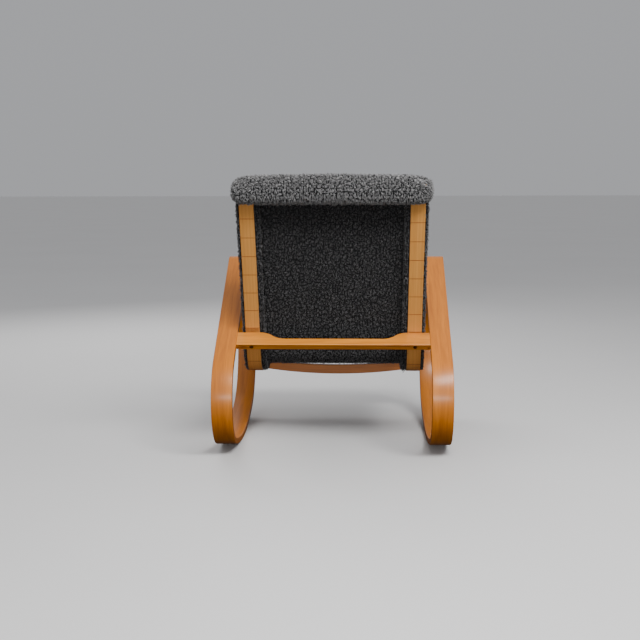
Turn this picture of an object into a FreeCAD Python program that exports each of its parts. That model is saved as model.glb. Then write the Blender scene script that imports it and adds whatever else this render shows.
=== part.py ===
import FreeCAD, Part

import math
import os

# Bentwood rocking chair. Millimetres, +Z up, the sitter faces -Y and sits with their left side at +X.
# Each side is one closed loop of bent laminated wood, both rocker and arm. Two stretchers join the loops
# and carry the seat: two bent rails with rubber straps across them, and a fleece-covered cushion.
# Side-view places are worked out as (forward, height), forward from the line where the rockers touch
# the floor, and the finished pieces are moved so that the origin is under the middle of the chair.

# Side loops
OVERALL_WIDTH = 680.0
BAND_WIDTH = 60.0
BAND_THICKNESS = 18.0
ROCKER_RADIUS = 878.0
ROCKER_REAR_ANGLE = 14.0
ROCKER_FRONT_ANGLE = 17.3
REAR_BEND_RADIUS = 141.0
FRONT_BEND_RADIUS = 200.0
ARM_SLOPE = 32.2
ARM_LENGTH = 477.0
TOP_BEND_RADIUS = 48.0
BAND_EDGE_ROUND = 2.0

# Seat rails
RAIL_WIDTH = 41.0
RAIL_DEPTH = 32.0
RAIL_EDGE_ROUND = 1.5
LOOP_TO_RAIL = 23.0
BACK_RECLINE = 22.0
BACK_LENGTH = 536.7
SEAT_BEND_RADIUS = 100.0
SEAT_BEND_FORWARD = -28.2
SEAT_BEND_HEIGHT = 312.0
SEAT_RISE = 6.0
KNEE_RADIUS = 45.0
LEG_FORWARD = 370.0
LEG_FOOT_HEIGHT = 169.5
KERF_PITCH = 58.0
LEFT_KERF_FIRST = 40.5
RIGHT_KERF_FIRST = 52.5
KERF_WIDTH = 1.8
KERF_DEPTH = 14.0

# Cross rail between the tops of the seat rails
CROSS_RAIL_THICKNESS = 18.0
CROSS_RAIL_HEIGHT = 50.0
CROSS_RAIL_SETBACK = 7.0
CROSS_DOWEL_DIAMETER = 8.0
CROSS_DOWEL_LENGTH = 40.0

# Rubber straps
STRAP_WIDTH = 50.0
STRAP_THICKNESS = 2.0
STRAP_END_MARGIN = 6.0
BACK_STRAP_BELOW_ROLL = 25.0
SEAT_STRAP_FROM_KNEE = 5.0
BACK_STRAPS = 5
SEAT_STRAPS = 4

# Stretchers
REAR_STRETCHER_WIDTH = 55.0
REAR_STRETCHER_WAIST = 28.0
REAR_STRETCHER_THICKNESS = 19.0
REAR_STRETCHER_DEPTH_IN_ARM = 2.0
WAIST_CURVE_LENGTH = 72.0
STRETCHER_EDGE_ROUND = 2.0
FRONT_STRETCHER_THICKNESS = 20.0
FRONT_STRETCHER_HEIGHT_MIDDLE = 30.5
FRONT_STRETCHER_HEIGHT_END = 26.0
FRONT_STRETCHER_UNDERSIDE = 128.5
FRONT_STRETCHER_BOW = 24.0
STRETCHER_DOWEL_DIAMETER = 8.0
STRETCHER_DOWEL_LENGTH = 44.0
FRONT_DOWEL_SPACING = 12.5
DOWEL_END_ROOM = 0.5

# Bolts and threaded inserts
BOLT_HEAD_DIAMETER = 13.0
BOLT_HEAD_HEIGHT = 5.0
BOLT_SHANK_DIAMETER = 7.0
BOLT_HOLE_DIAMETER = 8.0
BOLT_IN_RAIL = 22.0
HEX_SOCKET = 5.0
HEX_SOCKET_DEPTH = 3.0
BOLT_HEAD_ROUND = 0.6
INSERT_DIAMETER = 12.0
INSERT_LENGTH = 18.0
INSERT_SETBACK = 2.0
DRILL_OVERRUN = 8.0

# Upholstery
FABRIC_CLEARANCE = 0.3
CUSHION_PAST_RAIL = 10.0
CUSHION_THICKNESS = 52.0
CUSHION_EDGE_THICKNESS = 22.0
CUSHION_BASE_INSET = 9.0
CUSHION_SIDE_BULGE = 2.2
CUSHION_SHOULDER = 24.0
CUSHION_SHOULDER_RISE = 13.5
CUSHION_SHOULDER_BULGE = 4.0
CUSHION_UNDER_ROLL = 8.0
CUSHION_FOOT_SETBACK = 12.0
CUSHION_TAPER = 20.0
CUSHION_TAPER_END = 0.5
COVER_THICKNESS = 5.0
SIDE_STRIP_THICKNESS = 9.3
SIDE_STRIP_SETBACK = 3.0
SIDE_STRIP_ROUND = 3.7
SIDE_STRIP_FOOT_SETBACK = 10.0
BEAD_WIDTH = 16.5
BEAD_DEPTH = 19.0
BEAD_SETBACK = 1.0
BEAD_ROUND = 5.9
BACK_PANEL_SETBACK = 22.0
ROLL_PAST_RAIL = 21.0
ROLL_DEPTH = 114.0
ROLL_HEIGHT = 72.0
ROLL_CENTRE_DOWN = 20.0
ROLL_CENTRE_OFFSET = 20.0
ROLL_NOSE_RADIUS = 28.0
ROLL_END_ROUND = 24.0
ROLL_COVER_THICKNESS = 6.0

INNER_HALF = OVERALL_WIDTH / 2 - BAND_WIDTH
RAIL_OUTER = INNER_HALF - LOOP_TO_RAIL
RAIL_INNER = RAIL_OUTER - RAIL_WIDTH
RAIL_MIDDLE = (RAIL_OUTER + RAIL_INNER) / 2
CUSHION_BASE = RAIL_DEPTH + STRAP_THICKNESS + FABRIC_CLEARANCE
CUSHION_HALF_WIDTH = RAIL_OUTER + CUSHION_PAST_RAIL


def side(point, x=0.0):
    """A (forward, height) place in the side view, as a point at the given x."""
    return FreeCAD.Vector(x, -point[0], point[1])


def polar(centre, radius, degrees):
    turn = math.radians(degrees)
    return centre[0] + radius * math.cos(turn), centre[1] + radius * math.sin(turn)


def shifted(point, along, distance):
    return point[0] + distance * along[0], point[1] + distance * along[1]


def heading(degrees):
    return polar((0.0, 0.0), 1.0, degrees)


def line(a, b):
    return Part.LineSegment(a, b).toShape()


def arc(a, middle, b):
    return Part.Arc(a, middle, b).toShape()


def side_arc(centre, radius, start, end):
    """Arc in the side view about a centre, from one bearing to another, in degrees."""
    places = [polar(centre, radius, d) for d in (start, (start + end) / 2, end)]
    return arc(*[side(p) for p in places])


def side_tangent(bearing, *bends):
    """Straight in the side view that touches two bends, each a centre and a radius, at one bearing."""
    return line(*[side(polar(centre, radius, bearing)) for centre, radius in bends])


def extruded(edges, x0, x1):
    """Solid of a closed side-view outline carried from x0 to x1."""
    face = Part.Face(Part.Wire(edges))
    face.translate(FreeCAD.Vector(x0, 0, 0))
    return face.extrude(FreeCAD.Vector(x1 - x0, 0, 0))


def rounded(solid, radius, chosen):
    """Solid with the edges that chosen(edge) accepts rounded over."""
    edges = [e for e in solid.Edges if chosen(e)]
    return solid.makeFillet(radius, edges)


def rod(start, along, diameter, length):
    return Part.makeCylinder(diameter / 2, length, start, along)


def mirrored(solid):
    return solid.mirror(FreeCAD.Vector(0, 0, 0), FreeCAD.Vector(1, 0, 0))


# Side loops: a rocker arc tangent to the floor, a bend at each end of it, the straight arm, the top bend
# and the straight front stretch. Every bend is concentric through the thickness of the band.

ROCKER_CENTRE = (0.0, ROCKER_RADIUS)
REAR_BEARING = 270.0 - ROCKER_REAR_ANGLE
FRONT_BEARING = ROCKER_FRONT_ANGLE - 90.0
ARM_BEARING = 90.0 + ARM_SLOPE
REAR_CENTRE = polar(ROCKER_CENTRE, ROCKER_RADIUS - REAR_BEND_RADIUS, REAR_BEARING)
FRONT_CENTRE = polar(ROCKER_CENTRE, ROCKER_RADIUS - FRONT_BEND_RADIUS, FRONT_BEARING)
ARM_START = polar(REAR_CENTRE, REAR_BEND_RADIUS, ARM_BEARING)
ARM_END = shifted(ARM_START, heading(ARM_SLOPE), ARM_LENGTH)
TOP_CENTRE = shifted(ARM_END, heading(ARM_SLOPE - 90.0), TOP_BEND_RADIUS)


def front_bearing():
    """Bearing of the normal of the straight that touches the top bend and the front bend."""
    across = TOP_CENTRE[0] - FRONT_CENTRE[0]
    up = TOP_CENTRE[1] - FRONT_CENTRE[1]
    between = math.degrees(math.atan2(up, across))
    turn = math.acos((FRONT_BEND_RADIUS - TOP_BEND_RADIUS) / math.hypot(across, up))
    return between - math.degrees(turn)


def loop_outline(inset):
    """Edges of a loop's side view, inset from its outer face through the thickness of the band."""
    front = front_bearing()
    rocker = ROCKER_RADIUS - inset
    rear_bend = REAR_BEND_RADIUS - inset
    front_bend = FRONT_BEND_RADIUS - inset
    top_bend = TOP_BEND_RADIUS - inset
    return [
        side_arc(ROCKER_CENTRE, rocker, REAR_BEARING, FRONT_BEARING + 360.0),
        side_arc(FRONT_CENTRE, front_bend, FRONT_BEARING, front),
        side_tangent(front, (FRONT_CENTRE, front_bend), (TOP_CENTRE, top_bend)),
        side_arc(TOP_CENTRE, top_bend, front, ARM_BEARING),
        side_tangent(ARM_BEARING, (TOP_CENTRE, top_bend), (REAR_CENTRE, rear_bend)),
        side_arc(REAR_CENTRE, rear_bend, ARM_BEARING, REAR_BEARING),
    ]


def left_loop_blank():
    outer = extruded(loop_outline(0.0), INNER_HALF, OVERALL_WIDTH / 2)
    solid = outer.cut(extruded(loop_outline(BAND_THICKNESS), INNER_HALF, OVERALL_WIDTH / 2))
    return rounded(solid, BAND_EDGE_ROUND, lambda e: abs(e.BoundBox.XLength) < 0.01)


# Seat frame line. A distance runs down the floor side of a rail, from the top of the back, round the bend,
# forward under the seat, over the knee and down to the front stretcher. The bearing is that of the outward
# normal on the floor side; an offset goes from there towards the sitter.

BACK_OUT = 180.0 + BACK_RECLINE
SEAT_OUT = 270.0 + SEAT_RISE
LEG_OUT = 180.0
BEND_CENTRE = (SEAT_BEND_FORWARD, SEAT_BEND_HEIGHT)
BEND_LENGTH = SEAT_BEND_RADIUS * math.radians(SEAT_OUT - BACK_OUT)
KNEE_LENGTH = KNEE_RADIUS * math.radians(SEAT_OUT - LEG_OUT)
SEAT_START = polar(BEND_CENTRE, SEAT_BEND_RADIUS, SEAT_OUT)
KNEE_DROP = shifted((0.0, 0.0), heading(SEAT_OUT), KNEE_RADIUS)
SEAT_LENGTH = (LEG_FORWARD - KNEE_RADIUS - SEAT_START[0] - KNEE_DROP[0]) / math.cos(math.radians(SEAT_RISE))
SEAT_END = shifted(SEAT_START, heading(SEAT_RISE), SEAT_LENGTH)
KNEE_CENTRE = (SEAT_END[0] + KNEE_DROP[0], SEAT_END[1] + KNEE_DROP[1])
LEG_LENGTH = KNEE_CENTRE[1] - LEG_FOOT_HEIGHT
STATIONS = [0.0]
for stretch in (BACK_LENGTH, BEND_LENGTH, SEAT_LENGTH, KNEE_LENGTH, LEG_LENGTH):
    STATIONS.append(STATIONS[-1] + stretch)
BACK_END, BEND_END, SEAT_STOP, KNEE_END, FRAME_END = STATIONS[1:]


def bearing_at(distance):
    if distance <= BACK_END:
        return BACK_OUT
    if distance <= BEND_END:
        return BACK_OUT + math.degrees((distance - BACK_END) / SEAT_BEND_RADIUS)
    if distance <= SEAT_STOP:
        return SEAT_OUT
    if distance <= KNEE_END:
        return SEAT_OUT - math.degrees((distance - SEAT_STOP) / KNEE_RADIUS)
    return LEG_OUT


def frame_place(distance, offset=0.0):
    """Side-view place on the seat frame line, at an offset towards the sitter."""
    bearing = bearing_at(distance)
    if distance <= BACK_END:
        start = polar(BEND_CENTRE, SEAT_BEND_RADIUS, BACK_OUT)
        base = shifted(start, heading(BACK_OUT - 90.0), BACK_END - distance)
    elif distance <= BEND_END:
        base = polar(BEND_CENTRE, SEAT_BEND_RADIUS, bearing)
    elif distance <= SEAT_STOP:
        base = shifted(SEAT_START, heading(SEAT_RISE), distance - BEND_END)
    elif distance <= KNEE_END:
        base = polar(KNEE_CENTRE, -KNEE_RADIUS, bearing)
    else:
        base = (LEG_FORWARD, KNEE_CENTRE[1] - (distance - KNEE_END))
    return shifted(base, heading(bearing), -offset)


def frame_edges(offset, start, end):
    """Lines and arcs along the seat frame line at one offset, between two distances."""
    cuts = [start] + [s for s in STATIONS if start < s < end] + [end]
    edges = []
    for a, b in zip(cuts, cuts[1:]):
        first, middle, last = (side(frame_place(d, offset)) for d in (a, (a + b) / 2, b))
        straight = abs(bearing_at(a) - bearing_at(b)) < 1e-6
        edges.append(line(first, last) if straight else arc(first, middle, last))
    return edges


def frame_layer(offset_a, offset_b, start, end, x0, x1):
    """Solid between two offsets of the seat frame line, carried from x0 to x1."""
    edges = frame_edges(offset_a, start, end)
    edges.append(line(side(frame_place(end, offset_a)), side(frame_place(end, offset_b))))
    edges += frame_edges(offset_b, start, end)
    edges.append(line(side(frame_place(start, offset_b)), side(frame_place(start, offset_a))))
    return extruded(Part.__sortEdges__(edges), x0, x1)


def across_sides(edge):
    """True for the long edges of a layer, which lie flat in one side plane."""
    return edge.BoundBox.XLength < 0.01 and edge.Length > RAIL_DEPTH + 1.0


# Bolts. Each has a round black head with a hex socket, let in flush, and a shank screwed into an insert.

REAR_AXIS = heading(ARM_SLOPE)
ARM_LINE_OUT = heading(ARM_BEARING)


def rear_far_corner():
    """Upper far corner of the rear stretcher, where its top face meets the back of the rails."""
    on_top = shifted(ARM_START, ARM_LINE_OUT, -REAR_STRETCHER_DEPTH_IN_ARM)
    back = frame_place(BACK_END)
    normal = heading(BACK_OUT)
    gap = (back[0] - on_top[0]) * normal[0] + (back[1] - on_top[1]) * normal[1]
    return shifted(on_top, REAR_AXIS, gap / (REAR_AXIS[0] * normal[0] + REAR_AXIS[1] * normal[1]))


REAR_FAR = rear_far_corner()
REAR_NEAR = shifted(REAR_FAR, REAR_AXIS, -REAR_STRETCHER_WIDTH)
REAR_BOLT_START = shifted(REAR_NEAR, ARM_LINE_OUT, -REAR_STRETCHER_THICKNESS / 2)
FRONT_BOLT_FORWARD = LEG_FORWARD + FRONT_STRETCHER_THICKNESS / 2
FRONT_BOLT_START = (FRONT_BOLT_FORWARD, FRONT_STRETCHER_UNDERSIDE
                    + FRONT_STRETCHER_BOW * (RAIL_MIDDLE / INNER_HALF) ** 2 + 1.0)


def bolt(start, along, length):
    head = rod(start, along, BOLT_HEAD_DIAMETER, BOLT_HEAD_HEIGHT)
    head = rounded(head, BOLT_HEAD_ROUND, lambda e: True)
    shank = rod(start + along * BOLT_HEAD_HEIGHT, along, BOLT_SHANK_DIAMETER, length - BOLT_HEAD_HEIGHT)
    corners = []
    normal = FreeCAD.Vector(1, 0, 0)
    other = along.cross(normal)
    for k in range(7):
        turn = math.radians(60.0 * k)
        reach = HEX_SOCKET / math.sqrt(3.0)
        corners.append(start + normal * (reach * math.cos(turn)) + other * (reach * math.sin(turn)))
    socket = Part.Face(Part.makePolygon(corners)).extrude(along * HEX_SOCKET_DEPTH)
    return head.fuse(shank).removeSplitter().cut(socket)


def bolt_room(start, along, wood):
    """Hole for a bolt through a stretcher: a counterbore for the head and a clearance hole."""
    head = rod(start - along * DRILL_OVERRUN, along, BOLT_HEAD_DIAMETER, BOLT_HEAD_HEIGHT + DRILL_OVERRUN)
    return head.fuse(rod(start, along, BOLT_HOLE_DIAMETER, wood))


def insert(start, along, bore):
    body = rod(start, along, INSERT_DIAMETER, INSERT_LENGTH)
    return body.cut(rod(start - along, along, bore, INSERT_LENGTH + 2.0))


def bolt_set(place, along, through):
    """Bolt, insert, hole through the stretcher and hole in the rail, for a bolt at one side place."""
    start = side(place, RAIL_MIDDLE)
    way = FreeCAD.Vector(0, -along[0], along[1])
    seat = start + way * (through + INSERT_SETBACK)
    screw = bolt(start, way, through + BOLT_IN_RAIL)
    nut = insert(seat, way, BOLT_SHANK_DIAMETER)
    into_rail = start + way * (through - DRILL_OVERRUN)
    in_rail = rod(into_rail, way, BOLT_HOLE_DIAMETER, INSERT_SETBACK + DRILL_OVERRUN)
    in_rail = in_rail.fuse(rod(seat, way, INSERT_DIAMETER, INSERT_LENGTH))
    in_rail = in_rail.fuse(rod(seat, way, BOLT_HOLE_DIAMETER, BOLT_IN_RAIL + 1.0))
    return screw, nut, bolt_room(start, way, through + DRILL_OVERRUN), in_rail


REAR_BOLT, REAR_INSERT, REAR_BOLT_ROOM, REAR_RAIL_HOLE = bolt_set(
    REAR_BOLT_START, REAR_AXIS, REAR_STRETCHER_WIDTH)
FRONT_BOLT, FRONT_INSERT, FRONT_BOLT_ROOM, FRONT_RAIL_HOLE = bolt_set(
    FRONT_BOLT_START, (0.0, 1.0), LEG_FOOT_HEIGHT - FRONT_BOLT_START[1])


# Dowels between the stretchers and the loops, and between the cross rail and the seat rails.

def cross_dowels(places, x_face, diameter, length):
    """Dowels along X centred on a joint face, and the holes that take them."""
    pins = []
    holes = []
    along = FreeCAD.Vector(1, 0, 0)
    for place in places:
        start = side(place, x_face - length / 2)
        pins.append(rod(start, along, diameter, length))
        holes.append(rod(start - along * DOWEL_END_ROOM, along, diameter, length + 2 * DOWEL_END_ROOM))
    return pins, holes


REAR_DOWEL_PLACES = [
    shifted(shifted(REAR_NEAR, REAR_AXIS, share * REAR_STRETCHER_WIDTH), ARM_LINE_OUT,
            -REAR_STRETCHER_THICKNESS / 2)
    for share in (0.25, 0.75)
]
FRONT_END_MIDDLE = FRONT_STRETCHER_UNDERSIDE + FRONT_STRETCHER_BOW + FRONT_STRETCHER_HEIGHT_END / 2
FRONT_DOWEL_PLACES = [
    (FRONT_BOLT_FORWARD, FRONT_END_MIDDLE + sign * FRONT_DOWEL_SPACING / 2) for sign in (-1, 1)
]
REAR_PINS, REAR_PIN_HOLES = cross_dowels(
    REAR_DOWEL_PLACES, INNER_HALF, STRETCHER_DOWEL_DIAMETER, STRETCHER_DOWEL_LENGTH)
FRONT_PINS, FRONT_PIN_HOLES = cross_dowels(
    FRONT_DOWEL_PLACES, INNER_HALF, STRETCHER_DOWEL_DIAMETER, STRETCHER_DOWEL_LENGTH)

CROSS_MIDDLE = CROSS_RAIL_SETBACK + CROSS_RAIL_THICKNESS / 2
TOP_DOWEL_PLACES = [frame_place(share * CROSS_RAIL_HEIGHT, CROSS_MIDDLE) for share in (0.27, 0.73)]
TOP_PINS, TOP_PIN_HOLES = cross_dowels(
    TOP_DOWEL_PLACES, RAIL_INNER, CROSS_DOWEL_DIAMETER, CROSS_DOWEL_LENGTH)


def left_loop():
    return left_loop_blank().cut(REAR_PIN_HOLES + FRONT_PIN_HOLES)


# Seat rails, with saw kerfs across the floor side, filled with glued slips.

def left_rail_blank():
    solid = frame_layer(0.0, RAIL_DEPTH, 0.0, FRAME_END, RAIL_INNER, RAIL_OUTER)
    return rounded(solid, RAIL_EDGE_ROUND, across_sides)


def kerf_slots(distance):
    """Saw cuts at an even pitch from the first distance on, as far as the knee."""
    slots = []
    while distance < SEAT_STOP:
        along = heading(bearing_at(distance) - 90.0)
        corners = []
        for reach, depth in ((-1, -KERF_WIDTH), (1, -KERF_WIDTH), (1, KERF_DEPTH), (-1, KERF_DEPTH)):
            base = shifted(frame_place(distance, depth), along, reach * KERF_WIDTH / 2)
            corners.append(side(base, RAIL_INNER - 1.0))
        face = Part.Face(Part.makePolygon(corners + corners[:1]))
        slots.append(face.extrude(FreeCAD.Vector(RAIL_WIDTH + 2.0, 0, 0)))
        distance += KERF_PITCH
    return slots


def rail_and_slips(kerf_first):
    """Rail and slips as they are on the left side, with the first kerf at a distance from the top."""
    blank = left_rail_blank()
    slots = kerf_slots(kerf_first)
    holes = [REAR_RAIL_HOLE, FRONT_RAIL_HOLE] + TOP_PIN_HOLES
    slips = [blank.common(slot).cut(holes).Solids[0] for slot in slots]
    return blank.cut(slots + holes), slips


# Stretchers

def rear_stretcher():
    """Board with a straight near edge and a far edge that swings in to a slim waist."""
    half = INNER_HALF
    swing = RAIL_INNER - 2.0
    waist = swing - WAIST_CURVE_LENGTH
    full = REAR_STRETCHER_WIDTH
    slim = REAR_STRETCHER_WAIST
    radius = (WAIST_CURVE_LENGTH ** 2 + (full - slim) ** 2) / (4 * (full - slim))
    half_turn = math.asin(WAIST_CURVE_LENGTH / 2 / radius) / 2
    run = radius * math.sin(half_turn)
    drop = radius * (1 - math.cos(half_turn))

    def spot(x, across):
        return side(shifted(REAR_NEAR, REAR_AXIS, across), x)

    def swung(sign):
        """Two equal tangent arcs from the full width at the rail to the waist."""
        middle = spot(sign * (swing + waist) / 2, (full + slim) / 2)
        outer = arc(spot(sign * swing, full), spot(sign * (swing - run), full - drop), middle)
        return outer, arc(middle, spot(sign * (waist + run), slim + drop), spot(sign * waist, slim))

    edges = [
        line(spot(-half, 0), spot(half, 0)),
        line(spot(half, 0), spot(half, full)),
        line(spot(half, full), spot(swing, full)),
        *swung(1),
        line(spot(waist, slim), spot(-waist, slim)),
        *swung(-1),
        line(spot(-swing, full), spot(-half, full)),
        line(spot(-half, full), spot(-half, 0)),
    ]
    down = side(ARM_LINE_OUT) * -REAR_STRETCHER_THICKNESS
    board = Part.Face(Part.Wire(Part.__sortEdges__(edges))).extrude(down)
    board = rounded(board, STRETCHER_EDGE_ROUND, lambda e: e.BoundBox.XLength > REAR_STRETCHER_THICKNESS)
    behind = frame_layer(0.0, RAIL_DEPTH * 2, 0.0, BACK_END, -half - 1.0, half + 1.0)
    rooms = [REAR_BOLT_ROOM, *REAR_PIN_HOLES]
    return board.cut([behind] + rooms + [mirrored(room) for room in rooms])


def front_stretcher():
    """Bar bowed down in its middle, with a flat housing under each rail."""
    half = INNER_HALF
    under = FRONT_STRETCHER_UNDERSIDE
    over = under + FRONT_STRETCHER_HEIGHT_MIDDLE
    end_under = under + FRONT_STRETCHER_BOW
    end_over = end_under + FRONT_STRETCHER_HEIGHT_END

    def spot(x, z):
        return side((LEG_FORWARD, z), x)

    edges = [
        arc(spot(-half, end_under), spot(0, under), spot(half, end_under)),
        line(spot(half, end_under), spot(half, end_over)),
        arc(spot(half, end_over), spot(0, over), spot(-half, end_over)),
        line(spot(-half, end_over), spot(-half, end_under)),
    ]
    bar = Part.Face(Part.Wire(edges)).extrude(FreeCAD.Vector(0, -FRONT_STRETCHER_THICKNESS, 0))
    bar = rounded(bar, STRETCHER_EDGE_ROUND, lambda e: e.BoundBox.XLength > half)
    corner = FreeCAD.Vector(RAIL_INNER, -LEG_FORWARD - RAIL_DEPTH, LEG_FOOT_HEIGHT)
    housing = Part.makeBox(RAIL_WIDTH, RAIL_DEPTH * 2, RAIL_DEPTH, corner)
    rooms = [housing, FRONT_BOLT_ROOM, *FRONT_PIN_HOLES]
    return bar.cut(rooms + [mirrored(room) for room in rooms])


# Cross rail and straps

def cross_rail():
    far = CROSS_RAIL_SETBACK + CROSS_RAIL_THICKNESS
    bar = frame_layer(CROSS_RAIL_SETBACK, far, 0.0, CROSS_RAIL_HEIGHT, -RAIL_INNER, RAIL_INNER)
    bar = rounded(bar, RAIL_EDGE_ROUND, lambda e: e.BoundBox.XLength > RAIL_INNER)
    return bar.cut(TOP_PIN_HOLES + [mirrored(hole) for hole in TOP_PIN_HOLES])


def straps(first, last, count):
    """Flat straps stapled across the sitter's side of both rails, evenly spaced."""
    reach = RAIL_OUTER - STRAP_END_MARGIN
    room = (last - first - STRAP_WIDTH) / (count - 1)
    made = []
    for k in range(count):
        start = first + room * k
        over = RAIL_DEPTH + STRAP_THICKNESS
        made.append(frame_layer(RAIL_DEPTH, over, start, start + STRAP_WIDTH, -reach, reach))
    return made


# Upholstery. The cushion is one crowned section swept along the seat frame line. Its cover is a shell of
# fleece round a foam core, and so is the headrest roll, which is pulled down over the top of the frame.

ROLL_FOOT = ROLL_CENTRE_DOWN + ROLL_HEIGHT / 2
LINING_TOP = ROLL_FOOT + FABRIC_CLEARANCE
CUSHION_TOP = ROLL_CENTRE_DOWN + CUSHION_UNDER_ROLL
CUSHION_FOOT = FRAME_END - CUSHION_FOOT_SETBACK


def bowed(a, b, bulge):
    """Three (x, up) places of an arc from a to b that bulges to the right of the way from a to b."""
    across, up = b[0] - a[0], b[1] - a[1]
    share = bulge / math.hypot(across, up)
    return a, ((a[0] + b[0]) / 2 + up * share, (a[1] + b[1]) / 2 - across * share), b


def cushion_section(distance, shrink, fullness):
    """Closed section of the cushion: flat base, drawn-in sides, round shoulders and a crowned top."""
    wide = CUSHION_HALF_WIDTH - shrink
    edge = (CUSHION_EDGE_THICKNESS - shrink) * fullness
    high = (CUSHION_THICKNESS - 2 * shrink) * fullness
    rise = edge + (CUSHION_SHOULDER_RISE - shrink / 2) * fullness

    def spot(place):
        return side(frame_place(distance, CUSHION_BASE + shrink + place[1]), place[0])

    foot = wide - CUSHION_BASE_INSET
    shoulder = wide - CUSHION_SHOULDER
    right = [
        bowed((foot, 0), (wide, edge), CUSHION_SIDE_BULGE * fullness),
        bowed((wide, edge), (shoulder, rise), CUSHION_SHOULDER_BULGE * fullness),
    ]
    left = [[(-x, up) for x, up in reversed(places)] for places in reversed(right)]
    crown = [(shoulder, rise), (0, high), (-shoulder, rise)]
    edges = [line(spot((-foot, 0)), spot((foot, 0)))]
    edges += [arc(*[spot(place) for place in places]) for places in (*right, crown, *left)]
    return Part.Wire(edges)


def cushion_body(shrink, roll_gap):
    """Cushion solid, smaller by shrink all round and clear of the headrest roll by roll_gap.

    The section is swept along the seat frame line and tapers off at the foot.
    """
    top = CUSHION_TOP + shrink
    foot = CUSHION_FOOT - shrink
    full = foot - CUSHION_TAPER
    path = Part.Wire(frame_edges(CUSHION_BASE, top, full))
    swept = path.makePipeShell([cushion_section(top, shrink, 1.0)], True, False)
    stops = []
    for share in (0.0, 0.4, 0.8, 1.0):
        fullness = CUSHION_TAPER_END + (1 - CUSHION_TAPER_END) * math.sqrt(1 - share ** 2)
        stops.append(cushion_section(full + share * CUSHION_TAPER, shrink, fullness))
    taper = Part.makeLoft(stops, True, True)
    return swept.fuse(taper).removeSplitter().cut(roll_body(-roll_gap))


def cushion_cover_and_core():
    cover = cushion_body(0.0, FABRIC_CLEARANCE)
    cover = cover.cut(cushion_body(COVER_THICKNESS, COVER_THICKNESS + FABRIC_CLEARANCE))
    inside = COVER_THICKNESS + FABRIC_CLEARANCE
    return cover, cushion_body(inside, inside + FABRIC_CLEARANCE)


def roll_body(shrink):
    """Headrest roll: an oval of four tangent arcs carried across the chair, with its ends rounded."""
    long_half = ROLL_DEPTH / 2 - shrink
    short_half = ROLL_HEIGHT / 2 - shrink
    nose = ROLL_NOSE_RADIUS - shrink
    flat = ((long_half - nose) ** 2 + short_half ** 2 - nose ** 2) / (2 * (short_half - nose))
    lean = math.atan2(long_half - nose, flat - short_half)
    reach = RAIL_OUTER + ROLL_PAST_RAIL - shrink

    def spot(offset, up):
        start = frame_place(0.0, ROLL_CENTRE_OFFSET + offset)
        return side(shifted(start, heading(BACK_OUT - 90.0), up - ROLL_CENTRE_DOWN))

    tip = (flat * math.sin(lean), flat * math.cos(lean) - (flat - short_half))
    corners = [(tip[0], tip[1]), (-tip[0], tip[1]), (-tip[0], -tip[1]), (tip[0], -tip[1])]
    middles = [(0.0, short_half), (-long_half, 0.0), (0.0, -short_half), (long_half, 0.0)]
    edges = [arc(spot(*corners[k]), spot(*middles[k]), spot(*corners[(k + 1) % 4])) for k in range(4)]
    solid = extruded(edges, -reach, reach)
    return rounded(solid, ROLL_END_ROUND - max(shrink, 0.0), lambda e: e.BoundBox.XLength < 0.01)


def frame_room(gap):
    """Space in the roll for the top of the seat frame, larger by gap all round."""
    reach = RAIL_OUTER + gap
    room = frame_layer(-gap, CUSHION_BASE + gap, 0.0, ROLL_FOOT + ROLL_END_ROUND, -reach, reach)
    along = heading(BACK_OUT - 90.0)
    corners = [frame_place(0.0, -gap), frame_place(0.0, CUSHION_BASE + gap)]
    corners += [shifted(corners[1], along, gap), shifted(corners[0], along, gap)]
    points = [side(p, -reach) for p in corners]
    above = Part.Face(Part.makePolygon(points + points[:1])).extrude(FreeCAD.Vector(2 * reach, 0, 0))
    return room.fuse(above)


def roll_cover_and_core():
    cavity = roll_body(ROLL_COVER_THICKNESS).cut(frame_room(ROLL_COVER_THICKNESS))
    cover = roll_body(0.0).cut(frame_room(FABRIC_CLEARANCE)).cut(cavity)
    inside = ROLL_COVER_THICKNESS + FABRIC_CLEARANCE
    return cover, roll_body(inside).cut(frame_room(inside))


def left_side_strip():
    """Fleece wrapped over the outer side of a rail."""
    x0 = RAIL_OUTER + FABRIC_CLEARANCE
    x1 = x0 + SIDE_STRIP_THICKNESS
    foot = FRAME_END - SIDE_STRIP_FOOT_SETBACK
    solid = frame_layer(SIDE_STRIP_SETBACK, RAIL_DEPTH, LINING_TOP, foot, x0, x1)
    return rounded(solid, SIDE_STRIP_ROUND, lambda e: e.BoundBox.XMin > x1 - 0.01)


def left_bead():
    """Padded fleece edge that follows the inner side of a rail."""
    x1 = RAIL_INNER - FABRIC_CLEARANCE
    far = BEAD_SETBACK + BEAD_DEPTH
    solid = frame_layer(BEAD_SETBACK, far, LINING_TOP, SEAT_STOP - STRAP_WIDTH, x1 - BEAD_WIDTH, x1)
    return rounded(solid, BEAD_ROUND, across_sides)


def back_panel():
    """Fleece lining between the beads, from the roll down the back and on under the seat."""
    reach = RAIL_INNER - 2 * FABRIC_CLEARANCE - BEAD_WIDTH
    far = RAIL_DEPTH - FABRIC_CLEARANCE
    return frame_layer(BACK_PANEL_SETBACK, far, LINING_TOP, SEAT_STOP - CROSS_RAIL_THICKNESS, -reach, reach)


def pairs(solids):
    return solids + [mirrored(s) for s in solids]


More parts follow.
